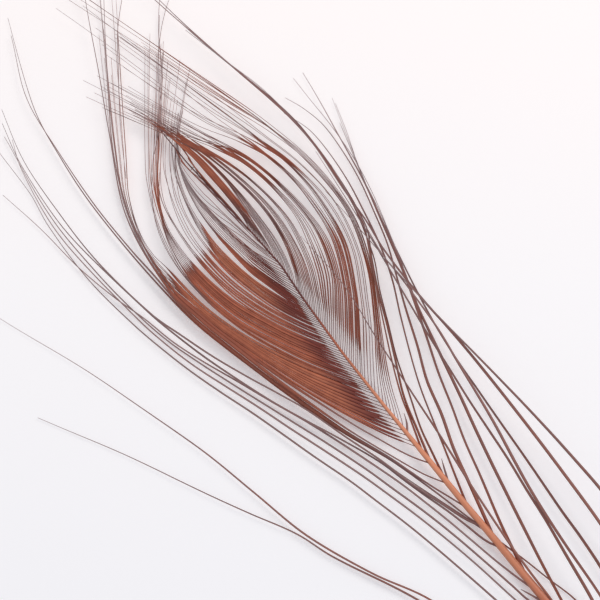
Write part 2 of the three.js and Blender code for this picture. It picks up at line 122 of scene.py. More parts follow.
# The barbs hang together in clumps. Each row is one clump:
# the stretch of shaft it grows from, and how many barbs it has,
# where it lies between the guides along its length (share of the length, from, to),
# the stretches where its barbs turn flat (from, to, finish there, how flat, and 0 only changes the finish),
# and the shares of the length between which its barbs end.
RIGHT_CLUMPS = [
    [-27, -13.5, 8,
     [[0.04, -27, -24], [1, -27, -24]],
     [[-0.1, 0.8, 0.68, 0.7]], [0.3, 0.55]],
    [-13.5, -7.5, 11,
     [[0.12, -14, -9], [0.3, -19.5, -9.5], [0.45, -20, -9.5], [0.6, -21, -8.5], [0.75, -23, -7],
      [0.9, -25, -6]],
     [[0.1, 0.76, 0.78, 0.9]], [0.8, 0.95]],
    [-7.5, -1.8, 9,
     [[0.2, -8.5, -3.2], [0.3, -9.5, -4.8], [0.45, -7.6, -5.3], [0.6, -7, -4.8], [0.75, -6, -3.5],
      [0.9, -5, -3]],
     [[-0.1, 0.26, 0.2, 0], [0.36, 0.62, 0.7, 0.7]], [0.8, 0.97]],
    [-1.8, 1, 6,
     [[0.2, -1.5, 0.8], [0.3, -1.4, 0.3], [0.45, -1.8, -0.4], [0.6, -2.9, -1.4], [0.75, -3, -1],
      [0.9, -2, 0]],
     [[0.02, 0.19, 0.62, 0.45], [0.5, 0.74, 0.72, 0.85]], [0.8, 0.97]],
    [1, 3.2, 5,
     [[0.2, 0.9, 2.9], [0.3, 0.6, 2.4], [0.45, 0.2, 1.9], [0.6, -0.4, 1], [0.75, -0.5, 1], [0.9, 0, 2]],
     [[0.02, 0.2, 0.62, 0.45], [0.5, 0.74, 0.72, 0.85]], [0.8, 0.97]],
    [3.2, 5, 4,
     [[0.2, 3, 4.6], [0.3, 2.9, 4.5], [0.45, 3.7, 4.7], [0.6, 2.6, 4.2], [0.75, 2, 3.6], [0.9, 2, 4]],
     [[0.02, 0.21, 0.62, 0.45], [0.45, 0.71, 0.74, 0.85]], [0.8, 0.95]],
    [5, 7.3, 5,
     [[0.2, 4.7, 7.2], [0.3, 4.9, 7.4], [0.45, 6.4, 7.7], [0.6, 6.7, 7.4], [0.75, 6.7, 7.3], [0.9, 6.4, 8]],
     [[0.02, 0.25, 0.63, 0.5], [0.44, 0.69, 0.75, 0.85]], [0.95, 1.12]],
    [7.3, 10, 6,
     [[0.2, 7.3, 9.8], [0.3, 7.6, 10], [0.45, 8.1, 9.8], [0.6, 8.6, 9.7], [0.75, 8.9, 9.7], [0.9, 8, 10]],
     [[0.03, 0.31, 0.66, 0.6], [0.47, 0.67, 0.75, 0.85]], [0.95, 1.12]],
    [10, 12.6, 5,
     [[0.2, 10, 12.3], [0.3, 10.2, 12], [0.45, 11, 12.2], [0.6, 12.3, 12.9], [0.75, 12.5, 12.9],
      [0.9, 12, 13.4]],
     [[0.03, 0.34, 0.67, 0.7], [0.52, 0.67, 0.75, 0.85]], [0.95, 1.1]],
    [12.6, 14.7, 4,
     [[0.2, 12.5, 14.2], [0.3, 12.1, 13.4], [0.45, 12.5, 13.6], [0.6, 14, 14.6], [0.75, 14.3, 14.7],
      [0.9, 13.6, 15]],
     [[0.04, 0.36, 0.68, 0.7], [0.54, 0.67, 0.75, 0.85]], [0.95, 1.08]],
    [14.7, 16.2, 2,
     [[0.2, 15.1, 16.3], [0.3, 14.4, 15.7], [0.45, 14.1, 15.5], [0.6, 14.5, 15.2], [0.75, 14.7, 15.1],
      [0.9, 15, 16.6]],
     [[0.04, 0.2, 0.6, 0.4], [0.5, 0.62, 0.74, 0.8], [0.74, 0.82, 0.66, 0.8]], [0.92, 1]],
    [16.2, 17.8, 2,
     [[0.2, 16.6, 17.8], [0.3, 16, 17.1], [0.45, 15.8, 16.7], [0.6, 16.3, 17], [0.75, 16.4, 16.9],
      [0.9, 16.4, 17.4]],
     [], [0.92, 1]],
    [17.8, 24, 7,
     [[0.2, 18.2, 22], [0.3, 18.2, 21], [0.37, 17.8, 20.6], [0.45, 17.3, 20.2], [0.6, 18.7, 20.4],
      [0.75, 18.7, 20.3], [0.9, 18.5, 20.2]],
     [[0.08, 0.36, 0.68, 0.5], [0.7, 0.88, 0.68, 0.6]], [0.92, 1]],
]
LEFT_CLUMPS = [
    [-27, -9, 8,
     [[0.04, -27, -24], [1, -27, -24]],
     [[-0.1, 0.6, 0.66, 0.6]], [0.3, 0.5]],
    [-9, -5.5, 5,
     [[0.12, -17, -6], [0.3, -19, -7.5], [0.6, -20, -8]],
     [[0.12, 1, 0.12, 0]], [0.5, 0.95]],
    [-5.5, 1, 10,
     [[0.11, -5, 0.8], [0.2, -7, -0.4], [0.3, -11, -2.6], [0.45, -15, -3.4], [0.6, -16, -3.8]],
     [[-0.05, 0.2, 0.7, 0.4], [0.3, 1, 0.14, 0]], [0.5, 0.85]],
    [1, 3.3, 5,
     [[0.11, 1, 3.2], [0.2, -0.8, 1.5], [0.3, -2.3, -1.2], [0.37, -3, -2.4], [0.45, -3.4, -2.6],
      [0.6, -3.8, -3.2]],
     [[0, 0.33, 0.76, 1]], [0.75, 0.92]],
    [3.3, 5.5, 5,
     [[0.11, 3.4, 5.6], [0.2, 2.8, 5.3], [0.3, 1.2, 5.1], [0.37, 0.8, 4.9], [0.45, 0.3, 4.6],
      [0.6, -0.6, 1.5]],
     [[0.005, 0.4, 0.86, 1]], [0.78, 0.95]],
    [5.5, 6.7, 2,
     [[0.2, 5.8, 6.4], [0.3, 5.7, 6.2], [0.45, 5.6, 6], [0.6, 5.5, 5.9], [0.75, 5, 5.7]],
     [[0.01, 0.43, 0.78, 1]], [0.93, 1]],
    [6.7, 8.2, 3,
     [[0.2, 6.9, 8], [0.3, 7, 8], [0.45, 7.1, 8.1], [0.6, 7, 8.1], [0.75, 6.5, 7.9], [0.9, 6, 7.6]],
     [[0.01, 0.45, 0.78, 1]], [0.93, 1]],
    [8.2, 9.9, 3,
     [[0.2, 8.4, 9.8], [0.3, 8.5, 9.7], [0.45, 8.7, 9.5], [0.6, 9.2, 9.5], [0.75, 10.9, 11.2],
      [0.9, 10.6, 10.9]],
     [[0.01, 0.46, 0.78, 1]], [0.93, 1]],
    [9.9, 15.6, 10,
     [[0.2, 10, 15.4], [0.3, 10.1, 15.1], [0.45, 10.8, 15], [0.55, 11, 14.4], [0.6, 11.4, 13.6],
      [0.66, 12, 12.8], [0.75, 11.6, 12.5], [0.9, 10.9, 12.1]],
     [[0.01, 0.47, 0.78, 1], [0.57, 0.9, 0.74, 0.45]], [0.93, 1]],
    [15.6, 17, 3,
     [[0.1, 16.1, 16.9], [0.2, 16.3, 17], [0.3, 16.1, 16.8], [0.38, 15.5, 16.1], [0.45, 15, 15.5],
      [0.6, 14.2, 14.9], [0.75, 13.8, 14.6], [0.9, 13.5, 14.8]],
     [[0.012, 0.4, 0.78, 1]], [0.93, 1]],
    [17, 22.6, 7,
     [[0.2, 17.2, 22.8], [0.3, 17.6, 23.4], [0.45, 17.8, 23.4], [0.55, 17.6, 22], [0.6, 18, 25],
      [0.7, 21.5, 25.5], [0.8, 22, 26], [0.9, 21, 27]],
     [[0.012, 0.52, 0.84, 1], [0.68, 0.9, 0.7, 0.4]], [0.93, 1]],
    [22.6, 27.5, 5,
     [[0.2, 23, 27], [0.3, 23.5, 27], [0.45, 23.6, 27], [0.6, 25, 26.8], [0.75, 25.4, 27]],
     [[0.014, 0.52, 0.8, 1]], [0.93, 1]],
]

# Barbs on their own: rise in the middle, height of the tip, then the path from the shaft to the tip.
# Fine and long ones on the right, a bundle and long ones on the left, and two that have sprung away.
FINE_RIGHT = [
    [1, 1.5, [[28.2, 0.5], [22.7, 2.2], [20, 2.95], [15, 4.95], [10, 7.25], [5, 9.6], [0, 12], [-5, 14.2],
         [-15, 15.6], [-25, 15.5], [-38, 13.2], [-62, 8.9]]],
    [0.7, 1, [[29.8, 0.6], [25, 1.9], [20, 3.3], [15, 5.5], [10, 7.7], [5, 9.8], [0, 12.2], [-4, 14.2],
         [-14, 15.7], [-26, 15.6], [-40, 12.9], [-58, 10.4]]],
    [0.4, 0.5, [[33, 0.7], [29, 1.55], [25, 2.45], [20, 4.15], [15, 5.8], [10, 7.95], [5, 10.05], [0, 12.5],
         [-10, 15.2], [-22, 16], [-31, 14.8], [-46, 11.4]]],
    [0.7, 0.4, [[38, 0.8], [35, 1.65], [30, 3.1], [25, 4.5], [20, 6], [15, 7.9], [10, 10.05], [5, 12.3],
         [0, 14], [-5, 15.2], [-14, 16.7], [-21, 16.8], [-26, 15.3]]],
    [1.6, 2.6, [[60, 1.7], [54.5, 2.1], [50, 2.15], [45, 2.3], [40, 2.65], [35, 3.1], [30, 3.6], [25, 4.1],
         [20, 4.5], [15, 4.9], [10, 5.4], [5, 6], [0, 6.3], [-8, 5.8]]],
    [-0.6, 0.2, [[67, 1.9], [63.5, 4], [60, 4.9], [56, 4.65], [52, 3.55], [48, 2.55], [44, 1.35], [40, 0.1],
         [36, -1.35], [33, -2.4], [30, -3.4], [25, -5.1]]],
]
LONG_RIGHT = [
    [0.8, 0.3, [[43.7, 1], [40, 1.9], [35, 3.1], [30, 4.3], [25, 5.95], [20, 7.25], [15, 9.25], [10, 11.1],
         [5, 13.1], [0, 15.05], [-5, 16.5], [-10, 17.75], [-15, 18.5], [-21, 18.9], [-25, 18.1],
         [-28, 16.9]]],
    [0.8, 0.25, [[50.5, 1.3], [47, 2], [42, 3.1], [35, 4.95], [30, 6.2], [25, 7.75], [20, 9.2], [15, 11],
         [10, 12.7], [5, 14.3], [0, 15.7], [-5, 17], [-10, 18.2], [-20, 20], [-30, 21.5]]],
    [0.8, 0.2, [[63, 1.7], [55, 3.2], [50, 4.1], [45, 5.1], [40, 6.1], [35, 7.15], [30, 8.3], [25, 9.5],
         [20, 10.6], [15, 11.75], [10, 12.95], [5, 14.4], [0, 15.8], [-12, 18.9], [-24, 22.6]]],
    [2, 2, [[79, 2.2], [72, 3.4], [65, 4.8], [57.5, 6.4], [50, 7.5], [45, 8.2], [40, 8.7], [35, 9.35],
         [30, 9.8], [25, 10.2], [20, 10.75], [15, 11.35], [10, 12.05], [5, 12.7], [-8, 14.4], [-18, 15.3]]],
    [2, 2.4, [[85, 2.4], [76, 4.4], [66, 6.3], [58, 7.6], [50, 8.15], [45, 8.6], [40, 9.2], [35, 10],
         [30, 10.9], [25, 11.65], [20, 12.3], [15, 12.95], [10, 13.25], [5, 13.5], [0, 13.6], [-15, 15.9]]],
    [0.5, 0.2, [[84, 2.4], [78, 4.3], [72, 6.3], [65, 8.6], [55, 10.15], [50, 10.6], [45, 10.8],
         [35, 11.55], [25, 12.15], [20, 12.45], [15, 13.05], [10, 13.9], [5, 14.85], [0, 15.9], [-5, 17.1],
         [-20, 21]]],
    [1.9, 2.2, [[94, 2.7], [86, 5.4], [74, 9], [62, 12.5], [50, 13.8], [40, 14.25], [30, 14.4], [20, 14.45],
         [15, 14.3], [10, 14], [5, 13.9], [0, 14.05], [-5, 14.7], [-10, 15], [-20, 15.75], [-30, 15],
         [-40, 12.8], [-50, 11]]],
    [2.4, 2.6, [[98, 2.8], [88, 8.5], [75, 13.5], [60, 16.5], [46, 16.75], [40, 16.5], [35, 16.25],
         [30, 15.9], [25, 15.4], [20, 14.85], [15, 14.35], [10, 14], [5, 13.65], [0, 13.35], [-12, 12.8]]],
]
BUNDLE_LEFT = [
    [0.5, 1, [[30, 0.5], [28, -0.85], [26, -1.9], [23, -3.2], [20, -4.5], [15, -6.4], [10, -8.2], [5, -9.8],
         [0, -11.2], [-5, -12.5], [-12, -13.6], [-25, -12.2], [-37, -7.3], [-60, 6]]],
    [0.9, 1.4, [[33.7, 0.7], [31.5, -0.7], [30, -1.5], [26, -3.2], [20, -5.6], [15, -7.3], [10, -8.9],
         [5, -10.3], [0, -11.6], [-5, -12.9], [-12, -14], [-25, -12.6], [-37, -7.5], [-64, 4.5]]],
    [0.5, 0.6, [[37.6, 0.6], [35, -0.4], [33, -1.2], [29.5, -2.4], [26, -3.6], [20, -6.1], [15, -7.8],
         [10, -9.4], [5, -10.9], [0, -12.2], [-5, -13.4], [-10, -14.2], [-15, -14.6], [-20, -15.05],
         [-30, -15.35], [-40, -15], [-50, -13.9], [-60, -10.3]]],
    [0.1, 0.2, [[41, 0.7], [38.5, -0.1], [36, -0.75], [33, -1.6], [29, -2.8], [26, -3.8], [20, -6.3],
         [15, -8.1], [10, -9.7], [5, -11.1], [0, -12.5], [-5, -13.8], [-10, -14.6], [-20, -15.4],
         [-30, -15.8], [-38, -15.3], [-48, -14], [-63, -9]]],
]
LONG_LEFT = [
    [0.8, 0.8, [[41.5, 1], [39, -0.4], [36, -1.5], [33, -2.6], [30, -3.6], [26, -4.65], [20, -6.75],
         [14, -8.7], [10, -10.4], [5, -12.7], [0, -14.8], [-5, -16.5], [-10, -18.1], [-20, -19.8],
         [-30, -20.2], [-40, -20], [-50, -18]]],
    [0.3, 0.6, [[45, 1.1], [43, 0], [40, -0.8], [37, -1.6], [33, -2.9], [30, -3.8], [26, -4.95], [20, -7.5],
         [15, -9.8], [10, -12], [5, -13.9], [0, -15.6], [-5, -17], [-10, -18.25], [-20, -20], [-30, -21.1],
         [-40, -20.6], [-48, -19.2]]],
    [0.1, 0.2, [[52, 1.1], [49, 0.2], [46, -0.6], [42, -1.5], [38, -2.4], [34, -3.4], [30, -4.5],
         [26, -5.85], [20, -8], [15, -9.9], [10, -12.1], [5, -14.2], [0, -16.3], [-5, -18.1], [-10, -19.4],
         [-15, -21], [-22, -22.6], [-30, -23.8], [-38, -25.3]]],
    [0.3, 0.2, [[57.5, 1.6], [53, -0.3], [50, -0.9], [45, -1.9], [40, -3], [35, -4.3], [30, -5.8], [26, -7],
         [20, -9.15], [15, -11.1], [10, -13], [5, -14.9], [0, -16.8], [-5, -18.5], [-10, -19.6], [-20, -21],
         [-30, -21.6], [-46, -20.2]]],
    [0.4, 0.2, [[65, 1.8], [59, -0.1], [52, -1.7], [45, -3], [40, -4.1], [35, -5.4], [30, -6.9],
         [26, -8.15], [20, -10.25], [15, -12.1], [10, -13.9], [5, -15.8], [0, -17.6], [-5, -19],
         [-10, -20.1], [-20, -21.5], [-30, -22.1], [-40, -21], [-45, -19.4]]],
    [0.3, 0.2, [[73, 2], [65, -0.5], [57, -2.5], [50, -3.9], [45, -4.95], [40, -6.05], [35, -7.25],
         [30, -8.65], [26, -9.8], [20, -11.9], [15, -13.5], [10, -15.1], [5, -16.9], [0, -18.6], [-5, -20],
         [-10, -21.1], [-20, -22.5], [-30, -22.7], [-36, -22], [-46, -22.1]]],
]
STRAY_LEFT = [
    [0.3, 0.15, [[78, 2.2], [70, -1], [60, -5.5], [45, -11], [38, -15], [29, -19], [20, -21.3], [10, -24],
         [-6, -29.5], [-22, -36]]],
    [0.2, 0.15, [[84, 2.4], [75, -1.8], [60, -6.8], [45, -12], [33, -18], [28, -20], [22, -23.5],
         [13, -28.5], [3, -34], [-6, -39.5]]],
]
# Short blunt ends of broken barbs beside the shaft, and loose hairs beyond the vanes, in the same form
RIGHT_STUBS = [
    [0, 1.5, [[33.8, 0.75], [32, 1.4], [30.2, 2.1]]],
    [0, 1.5, [[24.6, 0.5], [23.4, 1.3], [22, 1.85]]],
]
LEFT_STUBS = [
    [0, 0.6, [[54, 1], [52.5, 0.4], [51, -0.3]]],
]
RIGHT_HAIRS = [
    [0.3, 0.2, [[8, 13.6], [0, 16], [-10, 18.6], [-18, 19.6], [-30, 19.8]]],
    [0.3, 0.2, [[4, 14.8], [-4, 17], [-12, 18.8], [-15, 19.9], [-19.5, 21.4], [-23, 22.4]]],
]
LEFT_HAIRS = [
    [0, 0.3, [[-30, -9.4], [-38, -5.2], [-45, -1], [-52, 3.4], [-58, 8.5], [-62, 12]]],
    [0, 0.3, [[-33, -2.2], [-38, 1.6], [-43, 5.2], [-48, 8], [-54, 12.3], [-58, 16]]],
    [0, 0.3, [[-31, -3.9], [-36, 0.6], [-42, 4], [-47, 7.6], [-51, 11.4], [-54, 15.5]]],
]

# The two vanes. What their entries say:
# side is 1 right of the shaft and -1 left of it.
# arch is the rise in the middle of a barb, tip_heights the height of its tip by where it leaves the shaft.
# tilt is that of a barb that lies flat, in degrees.
# filling is the share of the space between neighbours that a flat blade fills.
# spread is 1 where clumps spread until they almost meet, and 0 where they stay apart.
# bare_root is the length beside the shaft where every barb stands on edge, 0 where none has to.
# turning is the length over which a barb turns flat beside the shaft.
# turning_back is the share of its length over which it turns to its edge again.
# edge_width is the share of its width that a blade has where it stands on edge, along its length.
# edge_finish is its finish there, along its length.
# maroon and shade is how maroon a flat stretch is where it begins beside the shaft: partly the barbs' own
# maroon and partly painted shade.
# A finish of 0 is the pale mauve of the tips, and 1 the brightest rust.
RIGHT_VANE = {
    "side": 1,
    "guides": RIGHT_GUIDES,
    "clumps": RIGHT_CLUMPS,
    "arch": 0.5,
    "tip_heights": [[-26, 1.05], [-1.5, 1.95], [4, 1.9], [25, 1.2]],
    "tilt": 12,
    "filling": 0.95,
    "spread": 0,
    "bare_root": 0,
    "turning": 4,
    "turning_back": 0.16,
    "edge_width": [[0, 0.84], [0.1, 0.62], [0.24, 0.32], [1, 0.29]],
    "edge_finish": [[0, 0.34], [0.1, 0.4], [0.3, 0.4], [0.55, 0.36], [0.75, 0.36], [0.9, 0.28], [1, 0.1]],
    "maroon_and_shade": 0.15,
    "seed": 11,
}
LEFT_VANE = {
    "side": -1,
    "guides": LEFT_GUIDES,
    "clumps": LEFT_CLUMPS,
    "arch": 0.35,
    "tip_heights": [[-26, 0.8], [-1.5, 0.25], [27, 0.35]],
    "tilt": -12,
    "filling": 1.4,
    "spread": 1,
    "bare_root": 1.2,
    "turning": 2,
    "turning_back": 0.09,
    "edge_width": [[0, 0.5], [0.1, 0.42], [0.24, 0.29], [1, 0.29]],
    "edge_finish": [[0, 0.34], [0.1, 0.4], [0.3, 0.34], [0.45, 0.24], [0.7, 0.26], [0.9, 0.24], [1, 0.1]],
    "maroon_and_shade": 0.85,
    "seed": 12,
}
# Blades of the vanes along their length: share, width and share, thickness
BLADE_WIDTH = [
    [0, 0.36], [0.06, 0.54], [0.15, 0.58], [0.45, 0.54], [0.65, 0.36], [0.8, 0.24], [0.9, 0.17], [1, 0.09],
]
BLADE_THICKNESS = [[0, 0.1], [0.3, 0.1], [0.6, 0.09], [0.85, 0.08], [1, 0.06]]
# Barbs that grow near the shaft's tip are finer: root, share of the width
FINER_TOWARDS_TIP = [[-27, 0.66], [-6, 0.66], [1.5, 1], [28, 1]]
# Most and least width of a blade that lies flat
WIDEST = 0.58
NARROWEST = 0.24
# Length over which a barb turns to its flat side again, further out
TURNING_AGAIN = 6
# The maroon, partly painted shade, fades away between these lengths from where the barb has turned flat,
# and over this stretch of the shaft towards its tip.
MAROON_START = 0.5
MAROON_LENGTH = 5
MAROON_ROOTS = (-15, -3)
# How maroon every barb is at its root, and the share of its length that counts as its root
ROOT_MAROON = 0.4
ROOT_SHARE = 0.12

# How barbs differ from each other. Degrees of tilt, also of the barbs on their own
TILT_SPREAD = 7
# Shares of the space between neighbours: place at the root, and drift further out
PLACE_SPREAD = 0.1
DRIFT = 0.3
# Shares of the length between which the drift sets in
DRIFT_FROM = 0.1
DRIFT_TO = 0.5
# How much higher or lower a barb lies, and the share of its length over which that sets in
LIFT = 0.06
LIFT_SHARE = 0.2
# Share of its length by which its turns move
TURN_SHIFT = 0.004
# How far a tip strays between the guides, how far to the side, and how much of that is along the shaft
SPLAY = 1.4
SPLAY_WIDTH = 1.6
SPLAY_SLANT = 0.35
# Shares of the length between which the straying sets in
SPLAY_START = 0.6
SPLAY_END = 1.1
# Size of the slight sideways waves at the tip of a barb, and their count
WAVE = 0.05
WAVES = 4
# Share of the length over which clumps spread
SPREAD_SHARE = 0.15
# Where a barb begins: share of the way from the middle of the shaft to its side
ROOT_DEPTH = 0.5
# Shares before and after a point over which a clump's change of course is softened
SOFTENING = (-0.04, -0.02, 0, 0.02, 0.04)

# Barbs on their own along their length: share, width
FINE_WIDTH_RIGHT = [[0, 0.36], [0.1, 0.32], [0.5, 0.3], [0.7, 0.24], [0.85, 0.15], [1, 0.07]]
LONG_WIDTH_RIGHT = [[0, 0.5], [0.1, 0.46], [0.5, 0.42], [0.7, 0.3], [0.85, 0.16], [1, 0.07]]
BUNDLE_WIDTH = [
    [0, 0.22], [0.14, 0.28], [0.24, 0.5], [0.42, 0.48], [0.52, 0.28], [0.62, 0.19], [0.8, 0.13], [1, 0.07],
]
LONG_WIDTH_LEFT = [[0, 0.3], [0.1, 0.3], [0.5, 0.28], [0.7, 0.2], [0.85, 0.13], [1, 0.07]]
STUB_WIDTH = [[0, 0.34], [0.6, 0.26], [1, 0.1]]
HAIR_WIDTH = [[0, 0.1], [0.5, 0.14], [1, 0.06]]
# and share, finish
LONG_FINISH = [[0, 0.68], [0.08, 0.64], [0.2, 0.52], [0.5, 0.47], [0.7, 0.38], [0.85, 0.22], [1, 0]]
BUNDLE_FINISH = [
    [0, 0.4], [0.13, 0.36], [0.22, 0.64], [0.44, 0.72], [0.54, 0.36], [0.85, 0.25], [1, 0.05],
]
LEFT_FINISH = [[0, 0.36], [0.08, 0.32], [0.4, 0.28], [0.6, 0.26], [0.8, 0.2], [1, 0.05]]
STUB_FINISH = [[0, 0.42], [1, 0.3]]
HAIR_FINISH = [[0, 0.2], [1, 0]]
# Thickness of a single barb as a share of its width
SINGLE_THICKNESS = 0.4
# Height of the middle of the lowest single barbs, which lie on the surface
LOWEST_MIDDLE = 0.17
# Slight sideways waves of a single barb: their size at its tip as a share of its length, and their count
SINGLE_WAVE = 0.0006
SINGLE_WAVES = 5
# How flat a single barb lies, how much it twists from that, and how fast along its length, in radians
SINGLE_FLAT = 0.75
SINGLE_TWIST = 0.25
SINGLE_TWIST_RATE = 6

# Section of a blade: its ridges lie beside its middle by this share of half its width,
# and above and below it by these shares of its thickness.
RIDGE_OFFSET = 0.1
RIDGE_SHARES = (0.55, -0.45)
# Share of its tilt that a blade keeps where it stands on edge
EDGE_TILT = 0.5
# Painted shade and light: finish is darker by this much at the two sides of a blade, where its neighbours
# shade it, and lighter by the same in its middle, where it catches the light
PAINTED_SIDE_SHADE = 0.05
# Painted shade: how far the sides of a blade that lies flat go towards maroon, in the grooves between
# neighbours
PAINTED_GROOVE_SHADE = 0.4
# Steps along a barb of a vane, and along one on its own
STEPS_ALONG = 72
STEPS_LONG = 110
# On the map of a mesh each blade is a strip one unit high.
# This is the gap below it, and the height of each of its four sides.
STRIP_GAP = 0.04
STRIP_SIDE = 0.23


def mix_rows(a, b, share):
    """A row, with what is nested in it, part of the way from one row to another."""
    if isinstance(a, list):
        return [mix_rows(one, other, share) for one, other in zip(a, b)]
    return a + (b - a) * share


def row_at(table, value):
    """The row of a table at a value of its first column, worked out between the rows on either side."""
    rows = sorted(table, key=lambda row: row[0])
    value = min(max(value, rows[0][0]), rows[-1][0])
    after = next(i for i in range(1, len(rows)) if rows[i][0] >= value)
    low, high = rows[after - 1], rows[after]
    return mix_rows(low, high, (value - low[0]) / (high[0] - low[0]))


def smooth(low, high, value):
    """0 below the low value and 1 above the high one, with a smooth step between them."""
    share = min(max((value - low) / (high - low), 0), 1)
    return share * share * (3 - 2 * share)


def spline_point(points, share):
    """A point of the smooth curve through evenly shared points, which runs on straight past their last."""
    last = len(points) - 1
    if share > 1:
        return Vector(points[-1]) + (Vector(points[-1]) - Vector(points[-2])) * (share - 1) * last
    place = max(share, 0) * last
    i = min(int(place), last - 1)
    t = place - i
    b, c = Vector(points[i]), Vector(points[i + 1])
    a = Vector(points[i - 1]) if i > 0 else 2 * b - c
    d = Vector(points[i + 2]) if i + 2 <= last else 2 * c - b
    bend = (2 * a - 5 * b + 4 * c - d) * t * t
    return 0.5 * (2 * b + (c - a) * t + bend + (3 * b - a - 3 * c + d) * t ** 3)


class Path:
    """A smooth curve through unevenly spaced points, by the share of its length."""

    def __init__(self, points):
        self.points = [Vector(point) for point in points]
        self.places = [0]
        for a, b in zip(self.points, self.points[1:]):
            self.places.append(self.places[-1] + (b - a).length)

    def slope(self, i):
        """Direction of the curve at one of its points."""
        before = max(i - 1, 0)
        after = min(i + 1, len(self.points) - 1)
        return (self.points[after] - self.points[before]) / (self.places[after] - self.places[before])

    def point(self, share):
        """The point of the curve at a share of its length."""
        place = min(max(share, 0), 1) * self.places[-1]
        i = max(k for k in range(len(self.places) - 1) if self.places[k] <= place)
        span = self.places[i + 1] - self.places[i]
        t = (place - self.places[i]) / span
        near = self.points[i] * (1 + 2 * t) * (1 - t) ** 2 + self.slope(i) * span * t * (1 - t) ** 2
        far = self.points[i + 1] * t * t * (3 - 2 * t) + self.slope(i + 1) * span * t * t * (t - 1)
        return near + far


def raised(x, y, height):
    """The real place of a point of the plan at this height."""
    return Vector((x + LEAN[0] * height - MIDDLE[0], y + LEAN[1] * height - MIDDLE[1], height))


def height_along(root_x, share, tip_height, arch):
    """Height of a barb along its length, from the middle of the shaft to its tip."""
    _, _, underside, half_width = row_at(SHAFT, root_x)
    root = underside + SHAFT_MIDDLE * half_width
    return root + (tip_height - root) * share + arch * math.sin(math.pi * share)


def linear(hex_colour):
    """An sRGB hex colour as linear red, green, blue and alpha."""
    parts = [int(hex_colour[i:i + 2], 16) / 255 for i in (1, 3, 5)]
    return [c / 12.92 if c <= 0.04045 else ((c + 0.055) / 1.055) ** 2.4 for c in parts] + [1]


def add_node(tree, kind, settings=None, links=None):
    """A node of this kind, with its settings by attribute or socket name, and links into its sockets."""
    node = tree.nodes.new(kind)
    for key, value in (settings or {}).items():
        if isinstance(key, int) or key in node.inputs:
            node.inputs[key].default_value = value
        else:
            setattr(node, key, value)
    for key, source in (links or {}).items():
        tree.links.new(source, node.inputs[key])
    return node


def add_ramp(tree, factor, stops):
    """A colour ramp through stops of position and sRGB hex colour."""
    ramp = add_node(tree, "ShaderNodeValToRGB", links={"Fac": factor})
    elements = ramp.color_ramp.elements
    while len(elements) < len(stops):
        elements.new(1)
    for element, (place, colour) in zip(elements, stops):
        element.position = place
        element.color = linear(colour)
    return ramp


# Direction in which a barb that stands on edge leans, so that its edge is turned to the front of the feather
UPRIGHT = Vector((LEAN[0], LEAN[1], 1)).normalized()


class BarbMesh:
    """Blades gathered into one mesh, with what the keratin's colour needs kept at each corner."""

    def __init__(self, name):
        self.name = name
        self.points = []
        self.faces = []
        self.finish = []
        self.tone = []
        self.maroon_and_shade = []
        self.strips = []

    def add_blade(self, centres, widths, thickness, flats, tilt, finishes, maroons_and_shade, tone):
        """A blade through centres: where flat is 0 it stands on edge, where it is 1 it lies at the tilt."""
        first = len(self.points)
        last = len(centres) - 1
        above, below = RIDGE_SHARES
        corners = ((-1, 0), (-RIDGE_OFFSET, above), (1, 0), (RIDGE_OFFSET, below))
        for i, centre in enumerate(centres):
            ahead = (centres[min(i + 1, last)] - centres[max(i - 1, 0)]).normalized()
            level = Vector((ahead.y, -ahead.x, 0)).normalized()
            up = level.cross(ahead)
            on_edge = math.atan2(UPRIGHT.dot(up), UPRIGHT.dot(level)) + tilt * EDGE_TILT
            angle = on_edge + (tilt - on_edge) * flats[i]
            across = level * math.cos(angle) + up * math.sin(angle)
            out = up * math.cos(angle) - level * math.sin(angle)
            for side, rise in corners:
                self.points.append(centre + across * widths[i] / 2 * side + out * thickness[i] * rise)
                # Painted shade at the two sides of each blade and painted light along its middle
                self.finish.append(finishes[i] + (PAINTED_SIDE_SHADE if rise else -PAINTED_SIDE_SHADE))
                # Painted shade: a flat stretch goes towards maroon at its sides
                self.maroon_and_shade.append(maroons_and_shade[i] + (0 if rise else PAINTED_GROOVE_SHADE * flats[i]))
                self.tone.append(tone)
        for i in range(last):
            for k in range(4):
                a = first + 4 * i + k
                b = first + 4 * i + (k + 1) % 4
                self.faces.append((a, b, b + 4, a + 4))
        self.faces.append((first + 3, first + 2, first + 1, first))
        end = first + 4 * last
        self.faces.append((end, end + 1, end + 2, end + 3))
        self.strips.append(last)

    def build(self, material):
        """The mesh as an object of this material."""
        mesh = bpy.data.meshes.new(self.name)
        mesh.from_pydata([point * MM for point in self.points], [], self.faces)
        for name in ("finish", "maroon_and_shade", "tone"):
            layer = mesh.attributes.new(name, "FLOAT", "POINT")
            layer.data.foreach_set("value", getattr(self, name))
        self.lay_out_strips(mesh)
        mesh.materials.append(material)
        piece = bpy.data.objects.new(self.name, mesh)
        bpy.context.scene.collection.objects.link(piece)
        return piece

    def lay_out_strips(self, mesh):
        """Each blade is unrolled as its own strip across the map that its colour is baked into."""
        layer = mesh.uv_layers.new(name="OFBake")
        count = len(self.strips)
        face = 0
        for row, last in enumerate(self.strips):
            for i in range(last):
                near, far = i / last, (i + 1) / last
                for k in range(4):
                    low = (row + STRIP_GAP + STRIP_SIDE * k) / count
                    high = (row + STRIP_GAP + STRIP_SIDE * (k + 1)) / count
                    corners = ((near, low), (near, high), (far, high), (far, low))
                    for loop, uv in zip(mesh.polygons[face].loop_indices, corners):
                        layer.data[loop].uv = uv
                    face += 1
            for side in (0, 1):
                for loop in mesh.polygons[face].loop_indices:
                    layer.data[loop].uv = (side, (row + 0.5) / count)
                face += 1


def place_in_clump(stations, across, share):
    """Where a barb of a clump lies between the guides, softened where the clump changes its course."""
    total = 0
    for shift in SOFTENING:
        _, low, high = row_at(stations, share + shift)
        total += low + (high - low) * across
    return total / len(SOFTENING)


